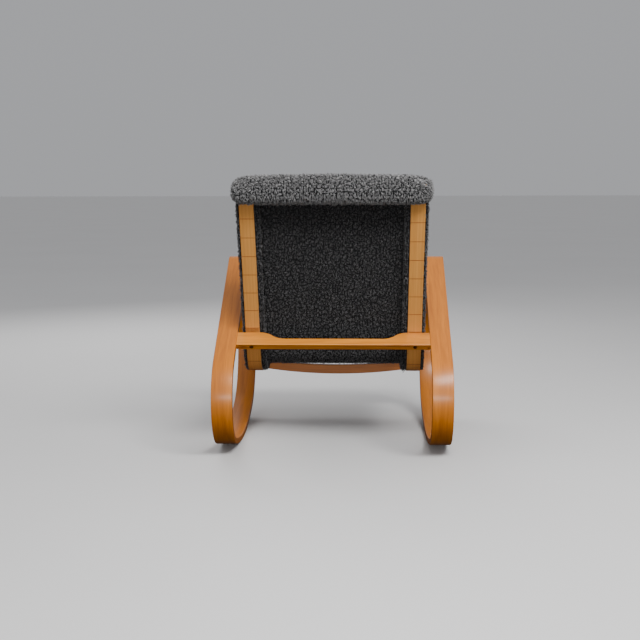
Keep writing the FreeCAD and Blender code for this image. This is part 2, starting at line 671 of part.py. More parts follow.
left_rail, left_slips = rail_and_slips(LEFT_KERF_FIRST)
right_rail, right_slips = rail_and_slips(RIGHT_KERF_FIRST)
cushion_cover, cushion_core = cushion_cover_and_core()
roll_cover, roll_core = roll_cover_and_core()
loop = left_loop()
strip = left_side_strip()
bead = left_bead()
nodes = {
    "left_loop": [loop],
    "right_loop": [mirrored(loop)],
    "rear_stretcher": [rear_stretcher()],
    "front_stretcher": [front_stretcher()],
    "left_rail": [left_rail],
    "right_rail": [mirrored(right_rail)],
    "left_kerf_slips": left_slips,
    "right_kerf_slips": [mirrored(s) for s in right_slips],
    "top_cross_rail": [cross_rail()],
    "back_straps": straps(ROLL_FOOT + BACK_STRAP_BELOW_ROLL, BACK_END, BACK_STRAPS),
    "seat_straps": straps(BEND_END, SEAT_STOP - SEAT_STRAP_FROM_KNEE, SEAT_STRAPS),
    "cushion_cover": [cushion_cover],
    "cushion_foam": [cushion_core],
    "headrest_cover": [roll_cover],
    "headrest_foam": [roll_core],
    "left_side_strip": [strip],
    "right_side_strip": [mirrored(strip)],
    "left_back_bead": [bead],
    "right_back_bead": [mirrored(bead)],
    "back_panel": [back_panel()],
    "rear_bolts": pairs([REAR_BOLT]),
    "rear_bolt_inserts": pairs([REAR_INSERT]),
    "front_bolts": pairs([FRONT_BOLT]),
    "front_bolt_inserts": pairs([FRONT_INSERT]),
    "rear_stretcher_dowels": pairs(REAR_PINS),
    "front_stretcher_dowels": pairs(FRONT_PINS),
    "top_rail_dowels": pairs(TOP_PINS),
}

chair = Part.makeCompound([s for solids in nodes.values() for s in solids])
box = chair.optimalBoundingBox(True)
to_origin = FreeCAD.Vector(0, -(box.YMin + box.YMax) / 2, 0)
os.makedirs("parts", exist_ok=True)
for name, solids in nodes.items():
    shape = solids[0] if len(solids) == 1 else Part.makeCompound(solids)
    shape = shape.copy()
    shape.translate(to_origin)
    shape.exportStep(f"parts/{name}.step")
print("forward shift %.2f, box %.1f x %.1f x %.1f" % (to_origin.y, box.XLength, box.YLength, box.ZLength))
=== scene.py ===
import bpy
import numpy as np
from mathutils import Matrix, Vector


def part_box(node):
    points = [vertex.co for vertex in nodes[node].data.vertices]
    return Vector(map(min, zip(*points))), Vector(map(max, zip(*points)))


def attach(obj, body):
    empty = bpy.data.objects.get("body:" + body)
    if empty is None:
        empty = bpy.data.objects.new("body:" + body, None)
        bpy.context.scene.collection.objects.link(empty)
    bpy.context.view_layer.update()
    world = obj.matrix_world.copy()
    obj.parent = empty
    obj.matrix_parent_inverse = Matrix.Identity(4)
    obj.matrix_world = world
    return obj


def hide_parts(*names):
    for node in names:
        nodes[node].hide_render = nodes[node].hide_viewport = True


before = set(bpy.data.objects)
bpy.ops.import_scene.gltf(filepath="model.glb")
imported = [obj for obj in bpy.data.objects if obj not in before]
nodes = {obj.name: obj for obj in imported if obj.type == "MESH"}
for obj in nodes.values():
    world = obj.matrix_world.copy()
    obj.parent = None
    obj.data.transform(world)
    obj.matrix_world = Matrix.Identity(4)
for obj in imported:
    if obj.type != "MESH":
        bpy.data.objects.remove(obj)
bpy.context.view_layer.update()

# The side loops. Each is one closed band of beech veneers, bent and glued over a form, sanded and lacquered
# orange-brown. It is rocker, arm and front post in one, and every other piece hangs between the two.

BAND_WIDTH = 0.060
BAND_THICKNESS = 0.018
BAND_EDGE_ROUND = 0.002
LOOP_INNER_X = 0.280
ROCKER_RADIUS = 0.878
ROCKER_REAR_ANGLE = 14.0
ROCKER_FRONT_ANGLE = 17.3
REAR_BEND_RADIUS = 0.141
FRONT_BEND_RADIUS = 0.200
TOP_BEND_RADIUS = 0.048
ARM_SLOPE = 32.2
ARM_LENGTH = 0.477
PLY_THICKNESS = 0.0029
GLUE_LINE = "#6E3A18"


def towards(degrees):
    """Unit direction in the side view, as (forward, height), at a bearing in degrees."""
    return np.array([np.cos(np.radians(degrees)), np.sin(np.radians(degrees))])


def sampled_arc(centre, radius, start, end, step=0.004):
    """Points and outward bearings of an arc: centre + radius * direction(bearing), about one each step."""
    count = max(int(np.radians(abs(end - start)) * abs(radius) / step), 10)
    bearings = np.linspace(start, end, count + 1)
    radians = np.radians(bearings)
    points = np.stack([np.cos(radians), np.sin(radians)], 1) * radius + centre
    return points, bearings


def loop_line():
    """Outer face of a loop in the side view: rocker, front bend, front post, top bend, arm and rear bend.

    Returns the points in order, their outward unit normals and the distance run to each.
    """
    rocker_centre = np.array([0.0, ROCKER_RADIUS])
    rear_bearing = 270.0 - ROCKER_REAR_ANGLE
    front_bearing = 270.0 + ROCKER_FRONT_ANGLE
    arm_bearing = 90.0 + ARM_SLOPE
    rear_centre = rocker_centre + (ROCKER_RADIUS - REAR_BEND_RADIUS) * towards(rear_bearing)
    front_centre = rocker_centre + (ROCKER_RADIUS - FRONT_BEND_RADIUS) * towards(front_bearing)
    arm_end = rear_centre + REAR_BEND_RADIUS * towards(arm_bearing) + ARM_LENGTH * towards(ARM_SLOPE)
    top_centre = arm_end - TOP_BEND_RADIUS * towards(arm_bearing)
    apart = top_centre - front_centre
    spread = np.degrees(np.arccos((FRONT_BEND_RADIUS - TOP_BEND_RADIUS) / np.hypot(*apart)))
    post_bearing = 360.0 + np.degrees(np.arctan2(apart[1], apart[0])) - spread
    pieces = [
        sampled_arc(rocker_centre, ROCKER_RADIUS, rear_bearing, front_bearing),
        sampled_arc(front_centre, FRONT_BEND_RADIUS, front_bearing, post_bearing),
        sampled_arc(top_centre, TOP_BEND_RADIUS, post_bearing, 360.0 + arm_bearing),
        sampled_arc(rear_centre, REAR_BEND_RADIUS, 360.0 + arm_bearing, 360.0 + rear_bearing),
    ]
    points = np.concatenate([p for p, _ in pieces])
    bearings = np.radians(np.concatenate([b for _, b in pieces]))
    kept = np.append(np.hypot(*np.diff(points, axis=0).T) > 1e-7, False)
    points, bearings = points[kept], bearings[kept]
    gaps = np.hypot(*(np.roll(points, -1, axis=0) - points).T)
    run = np.concatenate([[0.0], np.cumsum(gaps)])
    normals = np.stack([np.cos(bearings), np.sin(bearings)], 1)
    return points, normals, run


rearmost = loop_line()[0][:, 0].min()
FLOOR_LINE_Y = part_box("left_loop")[1].y + rearmost


def placed(x, side_points):
    """Side-view (forward, height) points at x, in the frame of the chair, which faces -Y."""
    x = np.broadcast_to(x, side_points.shape[:-1])
    return np.stack([x, FLOOR_LINE_Y - side_points[..., 0], side_points[..., 1]], -1)


def rounded_rectangle(low, high, radius, steps=4):
    """Closed section with round corners, as points and the distance run to each, going anticlockwise."""
    low, high = np.array(low), np.array(high)
    centres = [(high[0], low[1]), (high[0], high[1]), (low[0], high[1]), (low[0], low[1])]
    inward = np.array([(-1, 1), (-1, -1), (1, -1), (1, 1)]) * radius
    turns = [np.radians(np.linspace(start, start + 90, steps + 1)) for start in (-90, 0, 90, 180)]
    corners = [np.array(c) + i + radius * np.stack([np.cos(t), np.sin(t)], 1)
               for c, i, t in zip(centres, inward, turns)]
    section = np.concatenate(corners)
    gaps = np.hypot(*(np.roll(section, -1, axis=0) - section).T)
    return section, np.concatenate([[0.0], np.cumsum(gaps)])


def surface(name, grid, closed_u, closed_v, uv=None, flip=False):
    """Mesh object of a grid of points, quad by quad, closed round either way, with uv at its corners."""
    count_u, count_v = grid.shape[:2]
    i, j = np.meshgrid(np.arange(count_u if closed_u else count_u - 1),
                       np.arange(count_v if closed_v else count_v - 1), indexing="ij")
    i, j = i.ravel(), j.ravel()
    corners = [(i, j), (i + 1, j), (i + 1, j + 1), (i, j + 1)]
    if flip:
        corners.reverse()
    faces = np.stack([(a % count_u) * count_v + b % count_v for a, b in corners], 1)
    mesh = bpy.data.meshes.new(name)
    mesh.from_pydata(grid.reshape(-1, 3).tolist(), [], faces.tolist())
    mesh.polygons.foreach_set("use_smooth", np.ones(len(faces), bool))
    if uv is not None:
        layer = mesh.uv_layers.new(name="along_and_across")
        values = np.stack([np.stack([uv[0][a], uv[1][b]], 1) for a, b in corners], 1)
        layer.data.foreach_set("uv", values.ravel())
    piece = bpy.data.objects.new(name, mesh)
    bpy.context.scene.collection.objects.link(piece)
    return piece


def colour(code):
    """Linear colour of an sRGB hex code."""
    parts = [int(code[k:k + 2], 16) / 255 for k in (1, 3, 5)]
    linear = [c / 12.92 if c <= 0.04045 else ((c + 0.055) / 1.055) ** 2.4 for c in parts]
    return (*linear, 1.0)


def add(tree, kind, inputs=None, **settings):
    """Node of a kind, with its settings, and each input set to a value or linked from a socket."""
    made = tree.nodes.new(kind)
    for key, value in settings.items():
        setattr(made, key, value)
    for key, value in (inputs or {}).items():
        if isinstance(value, bpy.types.NodeSocket):
            tree.links.new(value, made.inputs[key])
        else:
            made.inputs[key].default_value = value
    return made


def finish_named(name):
    """New material with an empty node tree but for its output, as (material, tree, output)."""
    material = bpy.data.materials.new(name)
    material.use_nodes = True
    material.node_tree.nodes.clear()
    return material, material.node_tree, add(material.node_tree, "ShaderNodeOutputMaterial")


FIGURE_ALONG = 0.32
FIGURE_ACROSS = 0.09
GLUE_SHARE = 0.16
GLUE_STRENGTH = 0.55


def lacquered_wood(name, light, dark, along, across, depth, source="Object", plies=False, roughness=0.42):
    """Lacquered beech. The grain is noise stretched along the fibres: fine lines about 1 mm apart, broad
    lighter and darker growth bands, and for plies, the glue lines between the veneers of a bent edge.

    along, across and depth are how many pattern units one metre holds on the three axes of the source.
    """
    material, tree, output = finish_named(name)
    place = add(tree, "ShaderNodeTexCoord")
    fine = add(tree, "ShaderNodeMapping", {"Vector": place.outputs[source], "Scale": (along, across, depth)})
    figure = (along * FIGURE_ALONG, across * FIGURE_ACROSS, depth * FIGURE_ACROSS)
    broad = add(tree, "ShaderNodeMapping", {"Vector": place.outputs[source], "Scale": figure})
    lines = add(tree, "ShaderNodeTexNoise",
                {"Vector": fine.outputs[0], "Scale": 1.0, "Detail": 3.0, "Roughness": 0.6})
    bands = add(tree, "ShaderNodeTexNoise",
                {"Vector": broad.outputs[0], "Scale": 1.0, "Detail": 2.0, "Distortion": 0.6})
    grain = add(tree, "ShaderNodeMath", {0: lines.outputs["Fac"], 1: bands.outputs["Fac"]}, operation="ADD")
    tone = add(tree, "ShaderNodeMapRange", {"Value": grain.outputs[0], "From Min": 0.72, "From Max": 1.28})
    tint = add(tree, "ShaderNodeMix", {0: tone.outputs[0], 6: colour(light), 7: colour(dark)},
               data_type="RGBA")
    shade = tint.outputs[2]
    if plies:
        apart = add(tree, "ShaderNodeSeparateXYZ", {0: place.outputs[source]})
        turns = add(tree, "ShaderNodeMath", {0: apart.outputs[1], 1: PLY_THICKNESS}, operation="DIVIDE")
        phase = add(tree, "ShaderNodeMath", {0: turns.outputs[0], 1: 1.0}, operation="FLOORED_MODULO")
        glue = add(tree, "ShaderNodeMath", {0: phase.outputs[0], 1: GLUE_SHARE}, operation="LESS_THAN")
        fade = add(tree, "ShaderNodeMath", {0: glue.outputs[0], 1: GLUE_STRENGTH}, operation="MULTIPLY")
        lined = add(tree, "ShaderNodeMix", {0: fade.outputs[0], 6: shade, 7: colour(GLUE_LINE)},
                    data_type="RGBA")
        shade = lined.outputs[2]
    relief = add(tree, "ShaderNodeBump",
                 {"Height": lines.outputs["Fac"], "Strength": 0.05, "Distance": 0.0004})
    skin = add(tree, "ShaderNodeBsdfPrincipled",
               {"Base Color": shade, "Roughness": roughness, "IOR": 1.45, "Normal": relief.outputs[0],
                "Coat Weight": 0.5, "Coat Roughness": 0.24, "Coat IOR": 1.5})
    tree.links.new(skin.outputs[0], output.inputs["Surface"])
    return material


loop_face = lacquered_wood("lacquered_beech_veneer", "#D78022", "#B66618", 16, 700, 700,
                           source="UV")
loop_edge = lacquered_wood("lacquered_beech_laminate_edge", "#CE7A24", "#B16419", 16, 500, 500, source="UV",
                           plies=True)


def side_loop(name, node, mirror):
    """The band: each section point (x, depth) goes to the outer line less depth times its normal."""
    points, normals, run = loop_line()
    section, around = rounded_rectangle((LOOP_INNER_X, 0.0), (LOOP_INNER_X + BAND_WIDTH, BAND_THICKNESS),
                                        BAND_EDGE_ROUND)
    lines = points[:, None] - section[None, :, 1, None] * normals[:, None]
    grid = placed(section[None, :, 0] * mirror, lines)
    piece = surface(name, grid, True, True, (run, around), flip=mirror > 0)
    piece.data.materials.append(loop_face)
    piece.data.materials.append(loop_edge)
    sideways = np.zeros(len(piece.data.polygons) * 3)
    piece.data.polygons.foreach_get("normal", sideways)
    on_edge = np.abs(sideways.reshape(-1, 3)[:, 0]) > 0.8
    piece.data.polygons.foreach_set("material_index", on_edge.astype(np.int32))
    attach(piece, "root")
    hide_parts(node)


side_loop("left_side_loop", "left_loop", 1)
side_loop("right_side_loop", "right_loop", -1)


# The stretchers. The rear one is a flat board sawn to a slim waist, the front one a bar bowed down in its
# middle; both are solid beech with the grain running from loop to loop, doweled into the loops.

def dressed(node, material):
    """Puts a material on a CAD node in place of its plain one."""
    nodes[node].data.materials.clear()
    nodes[node].data.materials.append(material)


board_wood = lacquered_wood("lacquered_beech_board", "#EF9930", "#C27322", 9, 420, 420)
bar_wood = lacquered_wood("lacquered_beech_bar", "#E28935", "#BF6C27", 9, 420, 420)
dressed("rear_stretcher", board_wood)
dressed("front_stretcher", bar_wood)


# The seat rails. Each is one length of pale beech, kerfed across its floor side and bent to the line of the
# back, the seat and the front leg; dark slips are glued into the kerfs and dressed flush.

rail_wood = lacquered_wood("lacquered_beech_rail", "#E7A455", "#D49046", 700, 14, 14)
slip_wood = lacquered_wood("glued_beech_slip", "#A8562A", "#8A421E", 400, 60, 60)
for node in ("left_rail", "right_rail", "top_cross_rail"):
    dressed(node, rail_wood)
for node in ("left_kerf_slips", "right_kerf_slips"):
    dressed(node, slip_wood)


# The bolts, inserts and dowels. Socket-head bolts of steel with a black oxide skin pull the stretchers onto
# the rails through threaded inserts of zinc-plated steel; fluted dowels of raw beech hold the rest.

def metal(name, tone, metallic, roughness, speck):
    """Machined steel with a soft unevenness in its skin, from noise about 1 mm across."""
    material, tree, output = finish_named(name)
    place = add(tree, "ShaderNodeTexCoord")
    cloud = add(tree, "ShaderNodeTexNoise",
                {"Vector": place.outputs["Object"], "Scale": 900.0, "Detail": 2.0})
    tint = add(tree, "ShaderNodeMix", {0: cloud.outputs["Fac"], 6: colour(tone), 7: colour(speck)},
               data_type="RGBA")
    relief = add(tree, "ShaderNodeBump",
                 {"Height": cloud.outputs["Fac"], "Strength": 0.1, "Distance": 0.0002})
    skin = add(tree, "ShaderNodeBsdfPrincipled", {"Base Color": tint.outputs[2], "Metallic": metallic,
                                                  "Roughness": roughness, "Normal": relief.outputs[0]})
    tree.links.new(skin.outputs[0], output.inputs["Surface"])
    return material


black_oxide = metal("black_oxide_steel", "#141414", 0.6, 0.45, "#242322")
zinc_plate = metal("zinc_plated_steel", "#B9B7AF", 1.0, 0.35, "#8F8D87")
dowel_wood = lacquered_wood("raw_beech_dowel", "#CFA877", "#B98F5F", 300, 300, 300, roughness=0.7)
for node in ("rear_bolts", "front_bolts"):
    dressed(node, black_oxide)
for node in ("rear_bolt_inserts", "front_bolt_inserts"):
    dressed(node, zinc_plate)
for node in ("rear_stretcher_dowels", "front_stretcher_dowels", "top_rail_dowels"):
    dressed(node, dowel_wood)


# The straps. Woven rubber webbing, stretched across the sitter's side of the rails and stapled at both ends.
# Its ribs run along the strap, about 3 mm apart.

def rubber_webbing():
    """Rubber over woven thread: dull near-black brown, with fine ribs that are bumped and painted a little
    lighter, a painted highlight for the light they catch.
    """
    material, tree, output = finish_named("ribbed_rubber_webbing")
    place = add(tree, "ShaderNodeTexCoord")
    ribs = add(tree, "ShaderNodeTexWave",
               {"Vector": place.outputs["Object"], "Scale": 105.0, "Distortion": 0.4},
               wave_type="BANDS", bands_direction="Z")
    # Painted highlight: the ribs are painted a lighter brown along their crests.
    tint = add(tree, "ShaderNodeMix", {0: ribs.outputs["Fac"], 6: colour("#1D1A17"), 7: colour("#35302B")},
               data_type="RGBA")
    relief = add(tree, "ShaderNodeBump", {"Height": ribs.outputs["Fac"], "Strength": 0.4, "Distance": 0.0006})
    skin = add(tree, "ShaderNodeBsdfPrincipled", {"Base Color": tint.outputs[2], "Roughness": 0.75,
                                                  "Normal": relief.outputs[0]})
    tree.links.new(skin.outputs[0], output.inputs["Surface"])
    return material


webbing = rubber_webbing()
dressed("back_straps", webbing)
dressed("seat_straps", webbing)


# The headrest. A hood of foam in curly charcoal fleece, pulled down over the tops of the rails. The fleece
# is knitted with a pile of wool locks about 10 mm long that curl over, and its shaded roots look black.

RAIL_DEPTH = 0.032
RAIL_OUTER_X = 0.257
BACK_RECLINE = 22.0
BACK_LENGTH = 0.5367
SEAT_BEND_RADIUS = 0.100
SEAT_BEND_CENTRE = np.array([-0.0282, 0.3120])
SEAT_RISE = 6.0
KNEE_RADIUS = 0.045
LEG_FORWARD = 0.370
LEG_FOOT_HEIGHT = 0.1695
ROLL_CENTRE_DOWN = 0.020
ROLL_CENTRE_OFFSET = 0.020
ROLL_DEPTH = 0.114
ROLL_HEIGHT = 0.072
ROLL_HALF_LENGTH = 0.278
ROLL_SHOULDER = 0.066
ROLL_CHIN = 0.034
ROLL_SQUARENESS = 0.86
END_SQUARENESS = 2.4
END_FULLNESS = 0.2
ROOM_GAP = 0.003
ROOM_LENGTH = 0.12
SLOT_TOP = 0.745
PILE = 0.004

seat_start = SEAT_BEND_CENTRE + SEAT_BEND_RADIUS * towards(270 + SEAT_RISE)
knee_drop = KNEE_RADIUS * towards(270 + SEAT_RISE)
seat_length = (LEG_FORWARD - KNEE_RADIUS - seat_start[0] - knee_drop[0]) / np.cos(np.radians(SEAT_RISE))
knee_centre = seat_start + seat_length * towards(SEAT_RISE) + knee_drop
bend_length = SEAT_BEND_RADIUS * np.radians(90 + SEAT_RISE - BACK_RECLINE)
knee_length = KNEE_RADIUS * np.radians(90 + SEAT_RISE)
leg_length = knee_centre[1] - LEG_FOOT_HEIGHT
bend_end = BACK_LENGTH + bend_length
seat_end = bend_end + seat_length
knee_end = seat_end + knee_length
frame_end = knee_end + leg_length


def seat_line(distance, offset):
    """Side-view place and outward normal at a distance down the floor side of the rails, from their tops
    round the bend, along the seat and over the knee, at an offset from there towards the sitter."""
    distance, offset = np.broadcast_arrays(np.asarray(distance, float), np.asarray(offset, float))
    stretch = [distance <= BACK_LENGTH, distance <= bend_end, distance <= seat_end, distance <= knee_end]
    out = np.radians(np.select(stretch, [
        np.full_like(distance, 180 + BACK_RECLINE),
        180 + BACK_RECLINE + np.degrees((distance - BACK_LENGTH) / SEAT_BEND_RADIUS),
        np.full_like(distance, 270 + SEAT_RISE),
        270 + SEAT_RISE - np.degrees((distance - seat_end) / KNEE_RADIUS),
    ], 180.0))
    normal = np.stack([np.cos(out), np.sin(out)], -1)
    back_top = SEAT_BEND_CENTRE + SEAT_BEND_RADIUS * towards(180 + BACK_RECLINE)
    up_back = towards(90 + BACK_RECLINE)
    lines = [
        back_top + (BACK_LENGTH - distance)[..., None] * up_back,
        SEAT_BEND_CENTRE + SEAT_BEND_RADIUS * normal,
        seat_start + (distance - bend_end)[..., None] * towards(SEAT_RISE),
        knee_centre - KNEE_RADIUS * normal,
    ]
    leg = np.stack([np.full_like(distance, LEG_FORWARD), knee_centre[1] - (distance - knee_end)], -1)
    base = np.select([s[..., None] for s in stretch], lines, leg)
    return base - offset[..., None] * normal, normal


def headrest_form(name, grow):
    """Roll with rounded ends. The section is a superellipse about the slanted centre. Towards an end, at
    share s of the rounding, its fullness goes down to END_FULLNESS as (1 - s^2.4)^(1/2.4), over a long
    shoulder above and a short chin below."""
    turn = np.linspace(0, 2 * np.pi, 72, endpoint=False)
    cosine, sine = np.cos(turn), np.sin(turn)
    offset = np.sign(cosine) * np.abs(cosine) ** ROLL_SQUARENESS * (ROLL_DEPTH / 2 + grow)
    up = np.sign(sine) * np.abs(sine) ** ROLL_SQUARENESS * (ROLL_HEIGHT / 2 + grow)
    reach = ROLL_HALF_LENGTH + grow
    steps = np.sin(np.linspace(0, np.pi / 2, 16)) * ROLL_SHOULDER
    x = np.concatenate([-reach + ROLL_SHOULDER - steps[::-1], reach - ROLL_SHOULDER + steps])
    inset = np.clip(reach - np.abs(x), 0, None)

    def fullness(rounding):
        share = np.clip(1 - inset / rounding, 0, 1)
        return END_FULLNESS + (1 - END_FULLNESS) * (1 - share ** END_SQUARENESS) ** (1 / END_SQUARENESS)

    shoulder, chin = fullness(ROLL_SHOULDER)[:, None], fullness(ROLL_CHIN)[:, None]
    high = np.where(up > 0, shoulder, chin) * up
    deep = (shoulder + chin) / 2 * offset
    middle, normal = seat_line(0.0, ROLL_CENTRE_OFFSET)
    along = np.array([normal[1], -normal[0]])
    centre = middle - ROLL_CENTRE_DOWN * along
    side = centre - normal * deep[..., None] + along * high[..., None]
    return surface(name, placed(x[:, None], side), False, True)


def capped(piece):
    """Closes the two open ends of a form with one flat face each."""
    bpy.context.view_layer.objects.active = piece
    piece.select_set(True)
    bpy.ops.object.mode_set(mode="EDIT")
    bpy.ops.mesh.select_all(action="SELECT")
    bpy.ops.mesh.fill_holes(sides=0)
    bpy.ops.mesh.normals_make_consistent(inside=False)
    bpy.ops.object.mode_set(mode="OBJECT")
    piece.select_set(False)
    return piece


def applied(piece):
    """Applies every modifier of a piece by taking its evaluated mesh."""
    bpy.context.view_layer.update()
    mesh = bpy.data.meshes.new_from_object(piece.evaluated_get(bpy.context.evaluated_depsgraph_get()))
    piece.modifiers.clear()
    piece.data = mesh


def without(piece, other):
    """Cuts another form out of a piece and removes that form."""
    cut = piece.modifiers.new("room", "BOOLEAN")
    cut.operation, cut.solver, cut.object = "DIFFERENCE", "EXACT", other
    applied(piece)
    bpy.data.objects.remove(other)


def vertices(piece):
    """Places of a piece's vertices, one row each."""
    values = np.zeros(len(piece.data.vertices) * 3)
    piece.data.vertices.foreach_get("co", values)
    return values.reshape(-1, 3)


def vertex_normals(piece):
    """Outward unit normals at a piece's vertices, one row each."""
    values = np.zeros(len(piece.data.vertices) * 3)
    piece.data.vertex_normals.foreach_get("vector", values)
    return values.reshape(-1, 3)


CLOTH_FRAMES = 20
CLOTH_PRESSURE = 4.0
CLOTH_STIFFNESS = 12


def stuffed(piece, voxel, cap, pinned):
    """Remeshes a form evenly and swells it as cloth under pressure. Vertices that pinned() marks stay, and
    no vertex moves further than cap."""
    remesh = piece.modifiers.new("even", "REMESH")
    remesh.mode, remesh.voxel_size, remesh.use_smooth_shade = "VOXEL", voxel, True
    applied(piece)
    start = vertices(piece)
    group = piece.vertex_groups.new(name="held")
    group.add(np.flatnonzero(pinned(start)).tolist(), 1.0, "REPLACE")
    cloth = piece.modifiers.new("swell", "CLOTH")
    cloth.settings.use_pressure = True
    cloth.settings.uniform_pressure_force = CLOTH_PRESSURE
    cloth.settings.effector_weights.gravity = 0.0
    cloth.settings.quality = 5
    cloth.settings.tension_stiffness = CLOTH_STIFFNESS
    cloth.settings.compression_stiffness = CLOTH_STIFFNESS
    cloth.settings.bending_stiffness = 2
    cloth.settings.vertex_group_mass = "held"
    cloth.point_cache.frame_start, cloth.point_cache.frame_end = 1, CLOTH_FRAMES
    for step in range(1, CLOTH_FRAMES + 1):
        bpy.context.scene.frame_set(step)
    applied(piece)
    bpy.context.scene.frame_set(1)
    moved = vertices(piece) - start
    length = np.linalg.norm(moved, axis=1, keepdims=True)
    held_back = np.minimum(1, cap / np.maximum(length, 1e-9))
    piece.data.vertices.foreach_set("co", (start + moved * held_back).ravel())
    piece.data.update()


def nearest(points, targets):
    """Index of the nearest target to each point, a few hundred points at a time."""
    size = np.sum(targets ** 2, axis=1)
    parts = np.array_split(points, len(points) // 400 + 1)
    return np.concatenate([np.argmin(size - 2 * part @ targets.T, axis=1) for part in parts])


CURL_SIZE = 5
CURL_GATHER = 0.6
LEAN_SCATTER = 0.35
LOCK_TAPER = 0.45
ROOT_DEPTH = 0.001


def curly_pile(name, roots, normals, length, thick, droop, seed):
    """Pile: one lock of wool at each root, a three-sided tube that tapers to a point. About one root in five
    is the middle of a curl, and the locks round it lean the same way and bend in to it. At share t a lock is
    at root + length * (normal * t(1 - t/2) + lean * t^2 / 2) + (middle of the curl - root) * t^2 * gather,
    where lean is a chance direction in the cloth for each curl, pulled down by droop."""
    chance = np.random.default_rng(seed)
    count = len(roots)
    normals = normals / np.maximum(np.linalg.norm(normals, axis=1, keepdims=True), 1e-9)
    middles = roots[chance.permutation(count)[:count // CURL_SIZE]]
    curl = nearest(roots, middles)
    lean = chance.normal(size=middles.shape)[curl] + chance.normal(size=(count, 3)) * LEAN_SCATTER
    lean[:, 2] -= droop * chance.uniform(0.6, 1.4, count)
    lean -= normals * np.sum(lean * normals, axis=1, keepdims=True)
    lean /= np.maximum(np.linalg.norm(lean, axis=1, keepdims=True), 1e-9)
    inward = middles[curl] - roots
    side = np.cross(normals, lean)
    long = length * chance.uniform(0.7, 1.3, (count, 1))
    wide = thick * chance.uniform(0.75, 1.25, (count, 1))
    share = np.array([0.0, 0.45, 0.8, 1.0])
    line = [roots - normals * ROOT_DEPTH + long * (normals * t * (1 - t / 2) + lean * t * t / 2)
            + inward * t * t * CURL_GATHER for t in share]
    spokes = [(0.0, 1.0), (0.87, -0.5), (-0.87, -0.5)]
    rings = [place + (side * a + (normals * t - lean * (1 - t)) * b) * wide * (1 - LOCK_TAPER * t)
             for place, t in zip(line[:3], share) for a, b in spokes]
    points = np.stack(rings + [line[3]], 1).reshape(-1, 3)
    low = np.array([0, 1, 2, 3, 4, 5])
    after = np.array([1, 2, 0, 4, 5, 3])
    quads = np.stack([low, after, after + 3, low + 3], 1)
    ends = np.array([[0, 2, 1], [6, 7, 9], [7, 8, 9], [8, 6, 9]])
    base = np.arange(count)[:, None, None] * 10
    faces = (quads + base).reshape(-1, 4).tolist() + (ends + base).reshape(-1, 3).tolist()
    mesh = bpy.data.meshes.new(name)
    mesh.from_pydata(points.tolist(), [], faces)
    mesh.polygons.foreach_set("use_smooth", np.ones(len(mesh.polygons), bool))
    height = np.tile(np.append(np.repeat(share[:3], 3), 1.0), count)
    tone = np.repeat(0.6 * chance.uniform(0, 1, len(middles))[curl] + 0.4 * chance.uniform(0, 1, count), 10)
    corners = np.zeros(len(mesh.loops), np.int32)
    mesh.loops.foreach_get("vertex_index", corners)
    layer = mesh.uv_layers.new(name="tone_and_height")
    layer.data.foreach_set("uv", np.stack([tone, height], 1)[corners].ravel())
    pile = bpy.data.objects.new(name, mesh)
    bpy.context.scene.collection.objects.link(pile)
    return pile


SOWN_SHIFT = 0.0018


def sown(piece, share, seed, keep=None):
    """Roots and normals of a pile: every vertex that keep marks, and a share of them again, shifted by about
    a third of the way between two vertices."""
    points, normals = vertices(piece), vertex_normals(piece)
    if keep is not None:
        points, normals = points[keep], normals[keep]
    chance = np.random.default_rng(seed)
    again = chance.uniform(size=len(points)) < share
    shifted = points[again] + chance.normal(0, SOWN_SHIFT, (again.sum(), 3))
    return np.concatenate([points, shifted]), np.concatenate([normals, normals[again]])


def fleece(name, root, tip, painted_tip_highlight):
    """Curly wool fleece: grey at the tips and near black at the roots of the pile, where the dark is painted
    shade;
    a painted highlight on the tips, stronger on some locks than others, makes each lock a little lighter or
    darker than the next, with the soft sheen of wool."""
    material, tree, output = finish_named(name)
    place = add(tree, "ShaderNodeTexCoord")
    parts = add(tree, "ShaderNodeSeparateXYZ", {0: place.outputs["UV"]})
    # Painted shade: along each lock the colour runs from the near-black root colour up to the grey tip
    # colour.
    rise = add(tree, "ShaderNodeMath", {0: parts.outputs[1], 1: 1.3}, operation="POWER")
    lifted = add(tree, "ShaderNodeMix", {0: rise.outputs[0], 6: colour(root), 7: colour(tip)},
                 data_type="RGBA")
    # Painted highlight: the tips of the locks with a high tone are mixed towards the light glint colour.
    chosen = add(tree, "ShaderNodeMath", {0: parts.outputs[0], 1: 2.5}, operation="POWER")
    bright = add(tree, "ShaderNodeMath", {0: chosen.outputs[0], 1: rise.outputs[0]}, operation="MULTIPLY")
    tint = add(tree, "ShaderNodeMix", {0: bright.outputs[0], 6: lifted.outputs[2], 7: colour(painted_tip_highlight)},
               data_type="RGBA")
    fibres = add(tree, "ShaderNodeTexNoise",
                 {"Vector": place.outputs["Object"], "Scale": 1400.0, "Detail": 2.0})
    relief = add(tree, "ShaderNodeBump",
                 {"Height": fibres.outputs["Fac"], "Strength": 0.5, "Distance": 0.0006})
    skin = add(tree, "ShaderNodeBsdfPrincipled",
               {"Base Color": tint.outputs[2], "Roughness": 0.9, "Normal": relief.outputs[0],
                "Sheen Weight": 0.2, "Sheen Roughness": 0.5, "Specular IOR Level": 0.2})
    tree.links.new(skin.outputs[0], output.inputs["Surface"])
    return material


